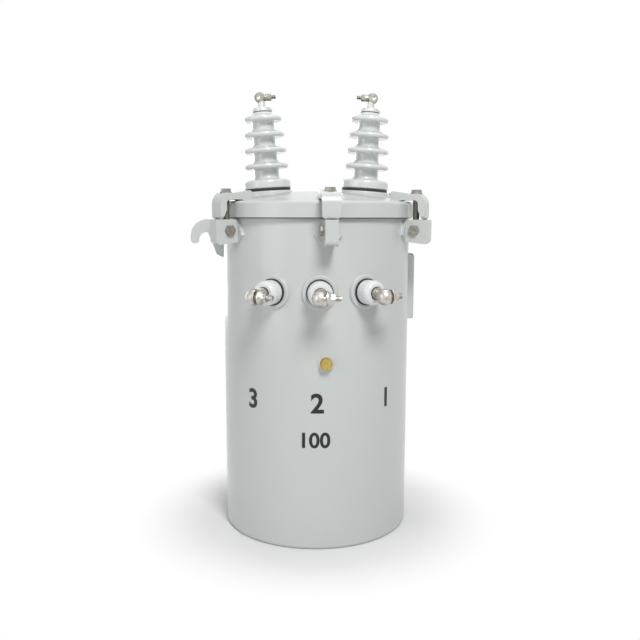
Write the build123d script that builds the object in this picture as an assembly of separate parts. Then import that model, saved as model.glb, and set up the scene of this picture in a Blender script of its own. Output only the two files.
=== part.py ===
from build123d import *
import math
import os

os.makedirs("parts", exist_ok=True)

# Pole mounted transformer, millimetres. +Z up, origin on the tank axis at the floor.
# The low voltage side faces -Y, the pole side faces +Y.
# Angles round the tank run from the low voltage side (-Y) towards +X.

# Tank
TANK_R = 250.0
WALL = 4.0
FOOT_BEND = 10.0          # outer radius of the turned-in lower edge
FOOT_LIP = 8.0            # width of the lip past the bend
BOTTOM_Z = 16.0           # underside of the recessed bottom plate
BOTTOM_T = 5.0
OIL_DROP = 74.0           # top of the filling of core, coils and oil under the skirt's edge
WALL_IN_COVER = 24.0      # how far the wall stands up inside the cover

# Cover
RIM_STAND = 13.0          # skirt outside, measured from the tank wall
SKIRT_H = 41.0
RIM_EDGE_R = 9.0
RIM_FLAT = 17.0           # from the skirt's outside to the foot of the dome
COVER_T = 4.0
DOME_RISE = 29.0
GASKET_T = 6.0
GASKET_SHOWS = 2.0        # how far the gasket's outer leg shows under the skirt
GASKET_IN_LEG = 14.0
GASKET_BEVEL = 4.0
WELD_GAP = 1.0            # room between the gasket and the pieces welded under it

# Cover clamps
CLAMP_N = 6
CLAMP_ANGLE = 4.7
CLAMP_STAND = 16.0        # swing bolt axis outside the skirt
ARM_W = 43.0
ARM_CORNER = 7.0          # bevel of the nose's lower corners
ARM_RISE = 19.0           # top of the arm over the cover's flat rim
ARM_REACH = 63.0          # from the bolt to the finger's tip
ARM_NOSE = 28.0           # from the bolt to the outside of the nose
ARM_NOSE_T = 18.0         # thickness of the nose at its top
ARM_CLAW_T = 9.0          # thickness of the nose at its lower end
ARM_THROAT = 11.0         # hollow corner between finger and nose
ARM_TOP_HALF = 13.0       # flat under the bolt head, outwards from the bolt
ARM_TIP_RISE = 7.0        # the finger's tip over that flat
ARM_LOW = 5.0             # lower end of the nose under the skirt's edge
ARM_SLOPE = 25.0          # drop of the slope from the flat to the nose
ARM_HEEL = 3.0            # underside of the finger over the flat rim
ARM_EDGE = 3.0
BRACKET_W = 31.0
BRACKET_T = 5.0
BRACKET_REACH = 37.0      # from the bolt axis to the outside of the channel
BRACKET_H = 62.0
BRACKET_TOP_GAP = 5.0     # from the skirt's lower edge down to the bracket
BRACKET_CORNER = 13.0
BRACKET_FOOT_W = 66.0     # width of the foot on the wall, across its two points
BRACKET_POINT_SHARE = 0.62      # height of those points, as a share down the bracket
BRACKET_FOOT_T = 6.0
CROSS_DROP = 32.0         # cross bolt under the skirt's lower edge
BOLT_R = 8.0
BOLT_AF = 24.0
BOLT_HEAD = 8.0
WASHER_R = 15.0
WASHER_T = 2.5
EYE_OUT_R = 14.0          # eye at the foot of a swing bolt
EYE_SIDE_GAP = 1.0
BOLT_GAP = 0.6            # clearance of a bolt in its hole, on the radius
BOLT_STAKE = 2.5          # staked end of a cross bolt

# High voltage bushings
HV_R = 130.0              # radius of the seat centres
HV_TILT = 3.8
SEAT_RISE = 28.0          # seat centre over the cover's flat rim
SEAT_R = 66.0
SEAT_FLARE = 5.0
SEAT_DEPTH = 46.0
SEAT_EDGE = 4.0
HV_GASKET_R = 61.0
HV_GASKET_T = 7.0
HV_COLLAR_R = 62.5
HV_COLLAR_H = 23.0
HV_COLLAR_EDGE = 4.0
HV_COLLAR_SLOPE = 1.0     # rise of the collar's top to the core
HV_PITCH = 41.2           # from shed to shed
HV_FIRST = 35.0           # first shed over the collar's top
HV_SHED_R = [59.5, 57.0, 54.2, 50.5]
HV_CORE_R = [33.0, 31.0, 29.0, 29.0]
HV_LIP = 6.5              # radius of a shed's rounded lip
HV_UNDER = 4.0            # fillet under a shed
HV_SLOPE = 9.0            # rise of a shed's top from lip to core
HV_FLARE = 9.0            # radius of the hollow curve above a shed
HV_NECK_R = 25.0
HV_NECK_H = 17.0
HV_SEAL_R = 22.0
HV_SEAL_T = 2.5
HV_CAP_R = 27.0
HV_CAP_H = 6.0
HV_CAP_STEP_R = 23.0
HV_CAP_STEP_H = 4.0
HV_POST_R = 9.2
HV_POST_H = 18.0
HV_BODY_R = 9.0           # body of the connector on the post
HV_BODY_X = -17.0         # inner end of the body, towards the tank axis
HV_BALL_R = 14.5          # ball that grips the conductor
HV_BALL_X = 3.5
HV_BALL_W = 20.0          # over the ball's two flats, the bore's length
HV_BORE_R = 5.0
HV_BORE_X = 7.0
HV_SEAT_GAP = 0.4         # room round the post in the ball
HV_BOLT_R = 4.5
HV_NUT_AF = 16.0
HV_NUT_L = 10.0
HV_BOLT_END = 12.0

# Low voltage bushings
LV_ANGLE_STEP = 26.8
LV_N = 3
LV_UNDER = 180.0          # bushing axes under the skirt's edge
LV_SEAT_R = 42.0
LV_SEAT_STAND = 6.0       # seat face outside the tank wall
LV_SEAT_FLARE = 3.0
LV_SEAT_EDGE = 4.0
LV_GASKET_R = 33.0
LV_GASKET_T = 4.0
LV_R = 30.0
LV_FOOT_EDGE = 1.0
LV_FACE_R = 22.0
LV_LEN = 41.0
LV_SHOULDER = 20.0        # length of the rounded end
LV_SEAL_R = 16.0
LV_SEAL_T = 2.0
LV_STUD_R = 10.0
LV_STUD_L = 39.0          # from the body's face to the connector's centre
LV_FLANGE_R = 14.5
LV_FLANGE_T = 6.0
LV_BALL_R = 20.0
LV_BALL_X = -2.0          # ball centre from the stud's axis, to the left
LV_DROP = 5.0             # ball centre under the stud's axis
LV_SADDLE_X = 5.0         # saddle face from the stud's axis
LV_SLOT = 7.0             # conductor gap between saddle and keeper
LV_KEEPER_L = 11.0
LV_KEEPER_R = 17.5
LV_KEEPER_END_R = 12.5
LV_KEEPER_RIM = 4.0
LV_BOLT_R = 6.0
LV_NUT_AF = 20.0
LV_NUT_L = 9.0
LV_BOLT_END = 15.0

# Level plug
PLUG_ANGLE = 3.6
PLUG_UNDER = 353.0        # under the skirt's edge
PLUG_AF = 27.0
PLUG_H = 11.0
PLUG_FLANGE_R = 15.5
PLUG_FLANGE_T = 2.5
PLUG_SEAT_R = 20.0
PLUG_SEAT_STAND = 5.0

# Lifting lugs
LUG_ANGLES = [-97.0, 113.0]
LUG_T = 10.0
LUG_TOP_GAP = 5.0         # from the skirt's lower edge down to the lug
LUG_H = 105.0
LUG_SHOULDER = 47.0       # straight top, from the wall
LUG_REACH = 95.5
LUG_HORN = 64.0           # tip of the horn under the lug's top
LUG_HORN_T = 26.0
LUG_HOOK = 37.0           # roof of the hook under the lug's top
LUG_ROOT = 30.0           # width of the leg under the hook

# Pole supports
POLE_LOW_Z = 110.0
POLE_PITCH = 590.0        # between the two slots, sets the height of the tank
POLE_UNDER = 134.0        # upper slot under the skirt's edge, clear of the bracket over it
POLE_STAND = 72.0         # bearing face outside the tank wall
POLE_W = 110.0
POLE_H = 104.0
POLE_T = 8.0
POLE_BEND = 14.0
SLOT_W = 21.0
SLOT_L = 42.0

# Side plate
SIDE_ANGLE = 100.0
SIDE_UNDER = 188.0        # plate centre under the skirt's edge
SIDE_H = 180.0
SIDE_W = 84.0
SIDE_T = 3.0
SIDE_OFF = 14.0
SIDE_LEG_W = 30.0
SIDE_LEG_PITCH = 108.0
SIDE_CORNER = 12.0

# Places that follow from the sizes
INSIDE = TANK_R - WALL
RIM_Z = POLE_LOW_Z + POLE_PITCH + POLE_UNDER
OIL_Z = RIM_Z - OIL_DROP
LV_Z = RIM_Z - LV_UNDER
PLUG_Z = RIM_Z - PLUG_UNDER
SIDE_Z = RIM_Z - SIDE_UNDER
WALL_TOP = RIM_Z + WALL_IN_COVER
RIM_R = TANK_R + RIM_STAND
FLAT = RIM_Z + SKIRT_H
DOME_R = RIM_R - RIM_FLAT
CLAMP_R = RIM_R + CLAMP_STAND
ARM_TOP = FLAT + ARM_RISE
BRACKET_TOP = RIM_Z - BRACKET_TOP_GAP
CROSS_Z = RIM_Z - CROSS_DROP
LV_FACE = TANK_R + LV_SEAT_STAND + LV_GASKET_T + LV_LEN
POLE_FACE = TANK_R + POLE_STAND
HV_COLLAR_TOP = HV_GASKET_T + HV_COLLAR_H
HV_SHED_Z = [HV_COLLAR_TOP + HV_FIRST + i * HV_PITCH for i in range(len(HV_SHED_R))]
HV_TOP = HV_SHED_Z[-1] + HV_NECK_H
HV_EYE_Z = HV_TOP + HV_SEAL_T + HV_CAP_H + HV_CAP_STEP_H + HV_POST_H + HV_BODY_R

UP = (Align.CENTER, Align.CENTER, Align.MIN)


def around(shape, angle):
    """Turn a piece built along +X to its angle round the tank."""
    return Rot(0, 0, angle - 90) * shape


def outward(angle, radius, z):
    """Plane with Z pointing out of the tank, X to the right and Y up."""
    a = math.radians(angle)
    return Plane(origin=(radius * math.sin(a), -radius * math.cos(a), z),
                 x_dir=(math.cos(a), math.sin(a), 0),
                 z_dir=(math.sin(a), -math.cos(a), 0))


def line(*points):
    """Straight run through (radius, height) points."""
    return Polyline(*[(p[0], 0, p[1]) for p in points])


def arc(start, end, centre):
    """Shorter arc from start to end round a centre."""
    r = math.dist(start, centre)
    mx = (start[0] + end[0]) / 2 - centre[0]
    mz = (start[1] + end[1]) / 2 - centre[1]
    m = math.hypot(mx, mz)
    mid = (centre[0] + mx / m * r, centre[1] + mz / m * r)
    return ThreePointArc(*[(p[0], 0, p[1]) for p in (start, mid, end)])


def bulge(start, end, height):
    """Arc from start to end that stands out to the left of the way by a height."""
    dx, dz = end[0] - start[0], end[1] - start[1]
    run = math.hypot(dx, dz)
    mid = ((start[0] + end[0]) / 2 - dz / run * height, (start[1] + end[1]) / 2 + dx / run * height)
    return ThreePointArc(*[(p[0], 0, p[1]) for p in (start, mid, end)])


def spun(*edges):
    """Solid of revolution round Z from edges drawn in (radius, height)."""
    return revolve(make_face(edges), Axis.Z)


def upright(width, *edges):
    """Plate from edges drawn in (radius, height), centred on the XZ plane."""
    return extrude(make_face(edges), width / 2, dir=(0, 1, 0), both=True)


def post(radius, height):
    return Cylinder(radius, height, align=UP)


def lying(radius, x0, x1):
    """Rod along X from x0 to x1."""
    return Pos(x0, 0, 0) * Rot(0, 90, 0) * post(radius, x1 - x0)


def ring(outer, inner, height):
    return post(outer, height) - post(inner, height)


def hexagon(across_flats, height):
    """Hexagon prism with its outer corners bevelled off."""
    corner = across_flats / math.sqrt(3)
    bevel = corner - across_flats / 2
    cone = Cone(corner + height - bevel * 0.6, across_flats / 2 + bevel * 0.4, height, align=UP)
    return extrude(RegularPolygon(corner, 6), height) & cone


def tank_wall():
    b, w, r = FOOT_BEND, WALL, TANK_R
    lip = r - b - FOOT_LIP
    return spun(
        line((r - b, 0), (lip, 0), (lip, w), (r - b, w)),
        arc((r - b, w), (r - w, b), (r - b, b)),
        line((r - w, b), (r - w, WALL_TOP), (r, WALL_TOP), (r, b)),
        arc((r, b), (r - b, 0), (r - b, b)))


def tank_bottom():
    return Pos(0, 0, BOTTOM_Z) * post(INSIDE, BOTTOM_T)


def core_and_oil():
    """Filling of the closed tank, as one solid."""
    floor = BOTTOM_Z + BOTTOM_T
    return Pos(0, 0, floor) * post(INSIDE, OIL_Z - floor)


def gasket_room():
    """Space of the gasket's outer leg, kept free of welded pieces."""
    return Pos(0, 0, RIM_Z - GASKET_SHOWS - WELD_GAP) * post(
        TANK_R + GASKET_T + WELD_GAP, SKIRT_H)


def cover_gasket():
    low, top = RIM_Z - GASKET_SHOWS, FLAT - COVER_T
    out, bevel = TANK_R + GASKET_T, GASKET_BEVEL
    step = WALL_TOP - GASKET_IN_LEG
    return spun(line((TANK_R, low), (out, low), (out, top - bevel), (out - bevel, top),
                     (INSIDE - GASKET_T, top), (INSIDE - GASKET_T, step), (INSIDE, step),
                     (INSIDE, WALL_TOP), (TANK_R, WALL_TOP), (TANK_R, low)))


def dome_ball():
    return (DOME_R ** 2 + DOME_RISE ** 2) / (2 * DOME_RISE)


def dome_arc(drop):
    """Dome from its foot to the axis, lowered by drop."""
    centre = (0, FLAT + DOME_RISE - dome_ball() - drop)
    return arc((DOME_R, FLAT - drop), (0, FLAT + DOME_RISE - drop), centre)


def hv_seat(side):
    """Plane of a high voltage bushing's seat: Z along the leaning axis, X away from the tank's."""
    t = math.radians(HV_TILT)
    return Plane(origin=(side * HV_R, 0, FLAT + SEAT_RISE),
                 x_dir=(side * math.cos(t), 0, -math.sin(t)),
                 z_dir=(side * math.sin(t), 0, math.cos(t)))


def cover_block(t):
    """Space under the cover's face, drawn in by a thickness."""
    r, e, edge = RIM_R - t, RIM_EDGE_R, RIM_R - RIM_EDGE_R
    return spun(line((0, FLAT + DOME_RISE - t), (0, RIM_Z), (r, RIM_Z), (r, FLAT - e)),
                arc((r, FLAT - e), (edge, FLAT - t), (edge, FLAT - e)),
                line((edge, FLAT - t), (DOME_R, FLAT - t)), dome_arc(t))


def cover():
    """Domed cover with a turned-down skirt and two pressed, leaning bushing seats."""
    solid = cover_block(0)
    for side in (-1, 1):
        seat = Pos(0, 0, -SEAT_DEPTH) * Cone(SEAT_R + SEAT_FLARE, SEAT_R, SEAT_DEPTH, align=UP)
        solid += hv_seat(side) * fillet(seat.edges().sort_by(Axis.Z)[-1], SEAT_EDGE)
    return solid - cover_block(COVER_T)


def hv_shed(z, r, core, next_core):
    """Outline of one shed, from its core below to the core above."""
    lip, under, flare = HV_LIP, HV_UNDER, HV_FLARE
    tip = r - lip
    foot = (next_core + flare, z + HV_SLOPE)
    slope = math.atan2(foot[1] - z, tip - foot[0])
    top = (tip + lip * math.sin(slope), z + lip * math.cos(slope))
    end = (next_core, foot[1] + flare)
    edges = [arc((core, z - lip - under), (core + under, z - lip), (core + under, z - lip - under)),
             line((core + under, z - lip), (tip, z - lip)),
             ThreePointArc((tip, 0, z - lip),
                           (tip + lip * math.cos(slope / 2), 0, z - lip * math.sin(slope / 2)),
                           (top[0], 0, top[1]))]
    edges.append(line(top, (foot[0] + flare * 0.35, foot[1] + flare * 0.1)))
    edges.append(bulge((foot[0] + flare * 0.35, foot[1] + flare * 0.1), end, flare * 0.28))
    return edges, end


def hv_insulator(side):
    """Porcelain body: collar, four sheds on a tapering core, neck."""
    g, e, c, top = HV_GASKET_T, HV_COLLAR_EDGE, HV_COLLAR_R, HV_COLLAR_TOP
    edges = [line((0, g), (c - e, g)), arc((c - e, g), (c, g + e), (c - e, g + e)),
             line((c, g + e), (c, top - 2 * e)),
             arc((c, top - 2 * e), (c - 2 * e, top), (c - 2 * e, top - 2 * e))]
    core, foot = HV_CORE_R[0], top + HV_COLLAR_SLOPE
    at = (core, foot + HV_FLARE)
    edges.append(line((c - 2 * e, top), (core + HV_FLARE, foot)))
    edges.append(arc((core + HV_FLARE, foot), at, (core + HV_FLARE, foot + HV_FLARE)))
    for i, z in enumerate(HV_SHED_Z):
        last = i == len(HV_SHED_Z) - 1
        next_core = HV_NECK_R if last else HV_CORE_R[i + 1]
        edges.append(line(at, (HV_CORE_R[i], z - HV_LIP - HV_UNDER)))
        outline, at = hv_shed(z, HV_SHED_R[i], HV_CORE_R[i], next_core)
        edges += outline
    edges.append(line(at, (HV_NECK_R, HV_TOP), (0, HV_TOP), (0, g)))
    return hv_seat(side) * spun(*edges)


def hv_gaskets():
    return Compound([hv_seat(side) * post(HV_GASKET_R, HV_GASKET_T) for side in (-1, 1)])


def hv_seals():
    return Compound([hv_seat(side) * Pos(0, 0, HV_TOP) * post(HV_SEAL_R, HV_SEAL_T)
                     for side in (-1, 1)])


def hv_cap(side):
    """Stepped metal cap with the terminal post."""
    cap = fillet(post(HV_CAP_R, HV_CAP_H).edges().filter_by(GeomType.CIRCLE), HV_CAP_H / 3)
    step = Pos(0, 0, HV_CAP_H) * post(HV_CAP_STEP_R, HV_CAP_STEP_H)
    step = fillet(step.edges().sort_by(Axis.Z)[-1], HV_CAP_STEP_H / 2)
    stem = Pos(0, 0, HV_CAP_H + HV_CAP_STEP_H) * post(HV_POST_R, HV_POST_H)
    return hv_seat(side) * Pos(0, 0, HV_TOP + HV_SEAL_T) * (cap + step + stem)


def hv_eyebolt(side):
    """Connector on the post: gripping ball outside, threaded end towards the tank axis."""
    r = HV_BALL_R
    body = lying(HV_BODY_R, HV_BODY_X, HV_BALL_X)
    ball = Pos(HV_BALL_X, 0, 0) * (Sphere(r) & Box(2 * r, HV_BALL_W, 2 * r))
    bolt = lying(HV_BOLT_R, HV_BODY_X - HV_NUT_L - HV_BOLT_END, HV_BODY_X)
    seat = Pos(0, 0, -HV_BODY_R - 2 * r) * post(HV_POST_R + HV_SEAT_GAP, 2 * r)
    bore = Pos(HV_BORE_X, r, 0) * Rot(90, 0, 0) * post(HV_BORE_R, 2 * r)
    return hv_seat(side) * Pos(0, 0, HV_EYE_Z) * (body + ball + bolt - seat - bore)


def hv_nuts():
    nut = Rot(0, -90, 0) * hexagon(HV_NUT_AF, HV_NUT_L) - lying(HV_BOLT_R, -2 * HV_NUT_L, HV_NUT_L)
    return Compound([hv_seat(side) * Pos(HV_BODY_X, 0, HV_EYE_Z) * nut for side in (-1, 1)])


def lv_angle(i):
    return (i - (LV_N - 1) / 2) * LV_ANGLE_STEP


def lv_bosses():
    """Pressed seats of the low voltage bushings."""
    depth = LV_SEAT_STAND + TANK_R - math.sqrt(TANK_R ** 2 - (LV_SEAT_R + LV_SEAT_FLARE) ** 2) + WALL
    boss = Pos(0, 0, -depth) * Cone(LV_SEAT_R + LV_SEAT_FLARE, LV_SEAT_R, depth, align=UP)
    boss = fillet(boss.edges().sort_by(Axis.Z)[-1], LV_SEAT_EDGE)
    inside = post(TANK_R, WALL_TOP)
    return Compound([outward(lv_angle(i), TANK_R + LV_SEAT_STAND, LV_Z) * boss - inside
                     for i in range(LV_N)])


def lv_gaskets():
    return Compound([outward(lv_angle(i), TANK_R + LV_SEAT_STAND, LV_Z) * post(LV_GASKET_R, LV_GASKET_T)
                     for i in range(LV_N)])


def lv_insulator(i):
    """White body with a rounded, drawn-in end."""
    d, e, s = LV_LEN, LV_FOOT_EDGE, LV_SHOULDER
    body = spun(line((0, 0), (LV_R - e, 0)), arc((LV_R - e, 0), (LV_R, e), (LV_R - e, e)),
                line((LV_R, e), (LV_R, d - s)),
                bulge((LV_R, d - s), (LV_FACE_R, d), -(LV_R - LV_FACE_R) * 0.42),
                line((LV_FACE_R, d), (0, d), (0, 0)))
    return outward(lv_angle(i), TANK_R + LV_SEAT_STAND + LV_GASKET_T, LV_Z) * body


def lv_seals():
    seal = ring(LV_SEAL_R, LV_STUD_R, LV_SEAL_T)
    seal = fillet(seal.edges().sort_by(Axis.Z)[-1], LV_SEAL_T / 3)
    return Compound([outward(lv_angle(i), LV_FACE, LV_Z) * seal for i in range(LV_N)])


def lv_head(i):
    """Place of a connector: the bolt's axis crossed with the stud's."""
    return outward(lv_angle(i), LV_FACE, LV_Z) * Pos(0, -LV_DROP, LV_STUD_L)


def lv_terminal(i):
    """Stud with its flange, and a ball-shaped saddle with its bolt."""
    r, base = LV_BALL_R, LV_SEAL_T - LV_STUD_L
    stud = Pos(0, LV_DROP, -LV_STUD_L) * post(LV_STUD_R, LV_STUD_L)
    flange = Pos(0, LV_DROP, base) * post(LV_FLANGE_R, LV_FLANGE_T)
    ball = Pos(LV_BALL_X, 0, 0) * Sphere(r)
    gap = Pos(LV_SADDLE_X, 0, -r) * Box(
        2 * r, 4 * r, 4 * r, align=(Align.MIN, Align.CENTER, Align.MIN))
    bolt = lying(LV_BOLT_R, 0, LV_SADDLE_X + LV_SLOT + LV_KEEPER_L + LV_NUT_L + LV_BOLT_END)
    return lv_head(i) * (stud + flange + ball - gap + bolt)


def lv_keeper(i):
    rim = post(LV_KEEPER_R, LV_KEEPER_RIM)
    bell = Pos(0, 0, LV_KEEPER_RIM) * Cone(
        LV_KEEPER_R, LV_KEEPER_END_R, LV_KEEPER_L - LV_KEEPER_RIM, align=UP)
    keeper = Rot(0, 90, 0) * (rim + bell - post(LV_BOLT_R, LV_KEEPER_L))
    return lv_head(i) * Pos(LV_SADDLE_X + LV_SLOT, 0, 0) * keeper


def lv_nuts():
    nut = Rot(0, 90, 0) * (hexagon(LV_NUT_AF, LV_NUT_L) - post(LV_BOLT_R, LV_NUT_L))
    x = LV_SADDLE_X + LV_SLOT + LV_KEEPER_L
    return Compound([lv_head(i) * Pos(x, 0, 0) * nut for i in range(LV_N)])


def plug_boss():
    depth = PLUG_SEAT_STAND + TANK_R - math.sqrt(TANK_R ** 2 - PLUG_SEAT_R ** 2) + WALL
    boss = Pos(0, 0, -depth) * post(PLUG_SEAT_R, depth)
    return outward(PLUG_ANGLE, TANK_R + PLUG_SEAT_STAND, PLUG_Z) * boss - post(TANK_R, WALL_TOP)


def level_plug():
    plug = post(PLUG_FLANGE_R, PLUG_FLANGE_T) + Pos(0, 0, PLUG_FLANGE_T) * hexagon(PLUG_AF, PLUG_H)
    return outward(PLUG_ANGLE, TANK_R + PLUG_SEAT_STAND, PLUG_Z) * plug


def clamp_angle(i):
    return CLAMP_ANGLE + i * 360.0 / CLAMP_N


def clamp_arm(i):
    """Cast hook: finger on the dome, slope over the rim and a claw-like nose outside it."""
    r, low, e = CLAMP_R, RIM_Z - ARM_LOW, ARM_EDGE
    tip, nose = r - ARM_REACH, r + ARM_NOSE
    heel, leg, claw = FLAT + ARM_HEEL, nose - ARM_NOSE_T, nose - ARM_CLAW_T
    tip_top = ARM_TOP + ARM_TIP_RISE
    side = upright(
        ARM_W,
        line((tip, FLAT), (tip, tip_top - 2 * e)),
        bulge((tip, tip_top - 2 * e), (tip + 2 * e, tip_top), e / 2),
        line((tip + 2 * e, tip_top), (r - WASHER_R, ARM_TOP), (r + ARM_TOP_HALF, ARM_TOP)),
        bulge((r + ARM_TOP_HALF, ARM_TOP), (nose, ARM_TOP - ARM_SLOPE), e),
        line((nose, ARM_TOP - ARM_SLOPE), (nose, low + 2 * e)),
        bulge((nose, low + 2 * e), (nose - 2 * e, low), e / 2),
        line((nose - 2 * e, low), (claw, low), (claw, low + e), (leg, (low + heel) / 2),
             (leg, heel - ARM_THROAT)),
        bulge((leg, heel - ARM_THROAT), (leg - ARM_THROAT, heel), -ARM_THROAT * 0.3),
        line((leg - ARM_THROAT, heel), (DOME_R, heel), (DOME_R - ARM_THROAT, FLAT), (tip, FLAT)))
    half, c = ARM_W / 2, ARM_CORNER
    front = Plane.YZ * make_face(Polyline(
        (-half, tip_top), (half, tip_top), (half, low + c), (half - c, low),
        (c - half, low), (-half, low + c), close=True))
    arm = side & extrude(front, 2 * nose, dir=(1, 0, 0))
    arm -= Pos(r, 0, low) * post(BOLT_R + BOLT_GAP, 2 * SKIRT_H)
    return around(arm - cover_block(0), clamp_angle(i))


def clamp_bracket(i):
    """Channel for the swing bolt's eye, on a diamond-shaped foot welded to the wall."""
    out, top, low, c = CLAMP_R + BRACKET_REACH, BRACKET_TOP, BRACKET_TOP - BRACKET_H, BRACKET_CORNER
    root = TANK_R - BRACKET_FOOT_T
    block = upright(BRACKET_W, line((root, top), (out, top), (out, low + c)),
                    arc((out, low + c), (out - c, low), (out - c, low + c)),
                    line((out - c, low), (root, low + c / 2), (root, top)))
    hollow = Pos(out - BRACKET_T, 0, low - BRACKET_H) * Box(
        out, BRACKET_W - 2 * BRACKET_T, 3 * BRACKET_H, align=(Align.MAX, Align.CENTER, Align.MIN))
    half, mid = BRACKET_FOOT_W / 2, top - BRACKET_H * BRACKET_POINT_SHARE
    foot = Plane.YZ * make_face(Polyline(
        (-BRACKET_W / 2, top), (BRACKET_W / 2, top), (half, mid), (BRACKET_W / 2, low + c / 2),
        (-BRACKET_W / 2, low + c / 2), (-half, mid), close=True))
    foot = extrude(foot, TANK_R + BRACKET_FOOT_T, dir=(1, 0, 0)) - post(TANK_R, WALL_TOP)
    bracket = block - hollow - post(TANK_R, WALL_TOP) + foot - gasket_room()
    bracket -= Pos(CLAMP_R, BRACKET_W, CROSS_Z) * Rot(90, 0, 0) * post(BOLT_R + BOLT_GAP, 2 * BRACKET_W)
    return around(bracket, clamp_angle(i))


def swing_bolts():
    """Eye, rod, washer and head of each cover bolt."""
    eye_w = BRACKET_W - 2 * BRACKET_T - 2 * EYE_SIDE_GAP
    eye = Pos(0, eye_w / 2, 0) * Rot(90, 0, 0) * (post(EYE_OUT_R, eye_w))
    rod = post(BOLT_R, ARM_TOP - CROSS_Z + WASHER_T)
    washer = Pos(0, 0, ARM_TOP - CROSS_Z) * post(WASHER_R, WASHER_T)
    head = Pos(0, 0, ARM_TOP - CROSS_Z + WASHER_T) * hexagon(BOLT_AF, BOLT_HEAD)
    pin = Pos(0, eye_w, 0) * Rot(90, 0, 0) * post(BOLT_R, 2 * eye_w)
    bolt = eye + rod + washer + head - pin
    return Compound([around(Pos(CLAMP_R, 0, CROSS_Z) * bolt, clamp_angle(i)) for i in range(CLAMP_N)])


def cross_bolts():
    """Bolt through each bracket, its head on the side that faces the low voltage front."""
    half = BRACKET_W / 2
    rod = Pos(0, half + BOLT_STAKE, 0) * Rot(90, 0, 0) * post(BOLT_R, BRACKET_W + BOLT_STAKE)
    head = Pos(0, -half, 0) * Rot(90, 0, 0) * hexagon(BOLT_AF, BOLT_HEAD)
    bolt = rod + head
    bolts = []
    for i in range(CLAMP_N):
        side = 0 if math.sin(math.radians(clamp_angle(i))) > 0 else 180
        bolts.append(around(Pos(CLAMP_R, 0, CROSS_Z) * Rot(0, 0, side) * bolt, clamp_angle(i)))
    return Compound(bolts)


def lifting_lug(angle):
    """Flat plate whose horn hooks downwards for a sling."""
    top = RIM_Z - LUG_TOP_GAP
    wall = TANK_R - WALL
    tip_out = (TANK_R + LUG_REACH, top - LUG_HORN * 0.8)
    tip_in = (TANK_R + LUG_REACH - LUG_HORN_T * 0.8, top - LUG_HORN * 0.95)
    roof = (TANK_R + LUG_SHOULDER, top - LUG_HOOK)
    leg = (TANK_R + LUG_ROOT, top - LUG_H * 0.75)
    lug = upright(
        LUG_T,
        line((wall, top), (TANK_R + LUG_SHOULDER, top)),
        bulge((TANK_R + LUG_SHOULDER, top), tip_out, LUG_HORN_T * 0.62),
        bulge(tip_out, tip_in, LUG_HORN_T * 0.4),
        bulge(tip_in, roof, -LUG_HORN_T * 0.38),
        line(roof, leg, (TANK_R + LUG_ROOT * 0.8, top - LUG_H + LUG_T), (TANK_R + LUG_ROOT / 6, top - LUG_H),
             (wall, top - LUG_H), (wall, top)))
    return around(lug - post(TANK_R, WALL_TOP) - gasket_room(), angle)


def support_lug(z):
    """Pressed channel with the bearing face to the pole and a slot for its bolt."""
    wide = (Align.MAX, Align.CENTER, Align.CENTER)
    deep = 2 * POLE_STAND
    outer = Pos(POLE_FACE, 0, z) * Box(deep, POLE_W, POLE_H, align=wide)
    outer = fillet(outer.edges().filter_by(Axis.Z).sort_by(Axis.X)[-2:], POLE_BEND)
    inner = Pos(POLE_FACE - POLE_T, 0, z) * Box(deep, POLE_W - 2 * POLE_T, 2 * POLE_H, align=wide)
    inner = fillet(inner.edges().filter_by(Axis.Z).sort_by(Axis.X)[-2:], POLE_BEND - POLE_T)
    face = Plane(origin=(POLE_FACE, 0, z), x_dir=(0, 0, 1), z_dir=(1, 0, 0))
    slot = face * extrude(SlotOverall(SLOT_L, SLOT_W), 2 * POLE_T, both=True)
    return around(outer - inner - slot - Pos(0, 0, z - POLE_H) * post(TANK_R, 2 * POLE_H), 180)


def side_plate():
    """Blank plate on two legs, standing off the wall."""
    front = TANK_R + SIDE_OFF
    plate = Pos(front, 0, SIDE_Z) * Box(SIDE_T, SIDE_W, SIDE_H, align=(Align.MIN, Align.CENTER, Align.CENTER))
    plate = fillet(plate.edges().filter_by(Axis.X), SIDE_CORNER)
    for s in (-1, 1):
        leg = Pos(front, 0, SIDE_Z + s * SIDE_LEG_PITCH / 2) * Box(
            4 * SIDE_OFF, SIDE_LEG_W, SIDE_T, align=(Align.MAX, Align.CENTER, Align.CENTER))
        plate += leg - post(TANK_R, WALL_TOP)
    return around(plate, SIDE_ANGLE)


pieces = {
    "tank_wall": tank_wall(),
    "tank_bottom": tank_bottom(),
    "core_and_oil": core_and_oil(),
    "cover": cover(),
    "cover_gasket": cover_gasket(),
    "hv_gaskets": hv_gaskets(),
    "hv_seals": hv_seals(),
    "hv_nuts": hv_nuts(),
    "lv_bosses": lv_bosses(),
    "lv_gaskets": lv_gaskets(),
    "lv_seals": lv_seals(),
    "lv_nuts": lv_nuts(),
    "plug_boss": plug_boss(),
    "level_plug": level_plug(),
    "swing_bolts": swing_bolts(),
    "cross_bolts": cross_bolts(),
    "side_plate": side_plate(),
    "support_lug_low": support_lug(POLE_LOW_Z),
    "support_lug_top": support_lug(POLE_LOW_Z + POLE_PITCH),
}
for name, side in (("left", -1), ("right", 1)):
    pieces["hv_insulator_" + name] = hv_insulator(side)
    pieces["hv_cap_" + name] = hv_cap(side)
    pieces["hv_eyebolt_" + name] = hv_eyebolt(side)
for i, name in enumerate(("left", "middle", "right")):
    pieces["lv_insulator_" + name] = lv_insulator(i)
    pieces["lv_terminal_" + name] = lv_terminal(i)
    pieces["lv_keeper_" + name] = lv_keeper(i)
for i in range(CLAMP_N):
    pieces[f"clamp_arm_{i + 1}"] = clamp_arm(i)
    pieces[f"clamp_bracket_{i + 1}"] = clamp_bracket(i)
for name, angle in zip(("left", "right"), LUG_ANGLES):
    pieces["lifting_lug_" + name] = lifting_lug(angle)

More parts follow.
